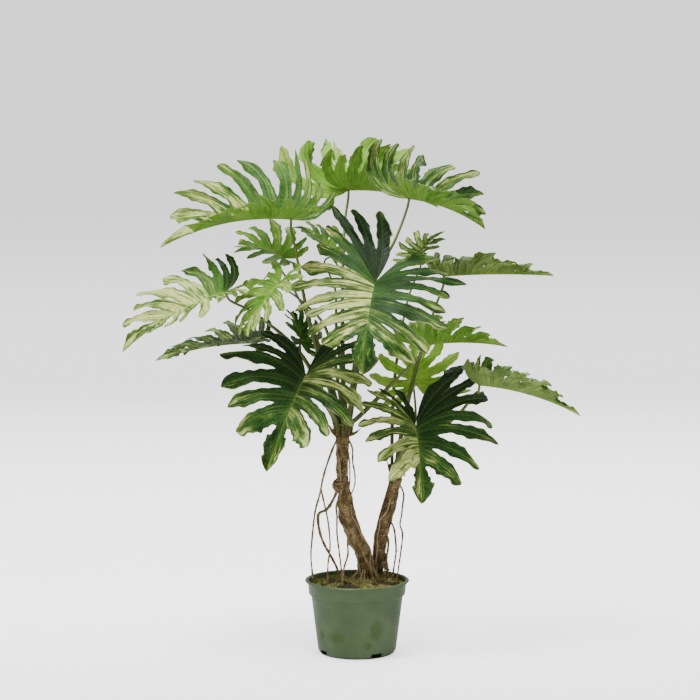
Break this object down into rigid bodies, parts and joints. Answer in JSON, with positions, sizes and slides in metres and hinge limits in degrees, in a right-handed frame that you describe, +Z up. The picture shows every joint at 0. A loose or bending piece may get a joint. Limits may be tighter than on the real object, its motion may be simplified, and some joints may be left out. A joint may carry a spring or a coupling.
{
  "type": "potted philodendron selloum",
  "caption": "Tree philodendron with two fibrous trunks, aerial roots and large deeply cut leaves, standing in a round plastic nursery pot.",
  "frame": {"origin": "centre of the pot's flat underside", "axes": "+Z up along the plant's height, +Y to the back, +X to the plant's right as seen from the front"},
  "size_m": [0.9188, 0.4457, 1.0511],
  "materials": {
    "pot": "satin",
    "soil": "rough",
    "bark": "rough",
    "stalk": "satin",
    "blade_cream": "satin",
    "blade_green": "satin",
    "blade_lime": "satin",
    "blade_olive": "satin"
  },
  "bodies": {
    "root": {"pot": "pot", "soil": "soil", "trunk_tall": "bark", "trunk_short": "bark", "leaf_top_left_stalk": "stalk", "leaf_top_left_blade": "blade_lime", "leaf_top_back_stalk": "stalk", "leaf_top_back_blade": "blade_lime", "leaf_top_right_stalk": "stalk", "leaf_top_right_blade": "blade_green", "leaf_left_stalk": "stalk", "leaf_left_blade": "blade_cream", "leaf_left_hanging_stalk": "stalk", "leaf_left_hanging_blade": "blade_cream", "leaf_left_back_stalk": "stalk", "leaf_left_back_blade": "blade_lime", "leaf_centre_back_stalk": "stalk", "leaf_centre_back_blade": "blade_lime", "leaf_centre_stalk": "stalk", "leaf_centre_blade": "blade_green", "leaf_right_upper_stalk": "stalk", "leaf_right_upper_blade": "blade_olive", "leaf_right_back_stalk": "stalk", "leaf_right_back_blade": "blade_lime", "leaf_right_middle_stalk": "stalk", "leaf_right_middle_blade": "blade_lime", "leaf_right_low_stalk": "stalk", "leaf_right_low_blade": "blade_olive", "leaf_low_right_stalk": "stalk", "leaf_low_right_blade": "blade_green", "leaf_low_back_stalk": "stalk", "leaf_low_back_blade": "blade_lime", "leaf_low_left_stalk": "stalk", "leaf_low_left_blade": "blade_green", "leaf_left_low_stalk": "stalk", "leaf_left_low_blade": "blade_green", "leaf_centre_low_stalk": "stalk", "leaf_centre_low_blade": "blade_green"}
  },
  "joints": []
}
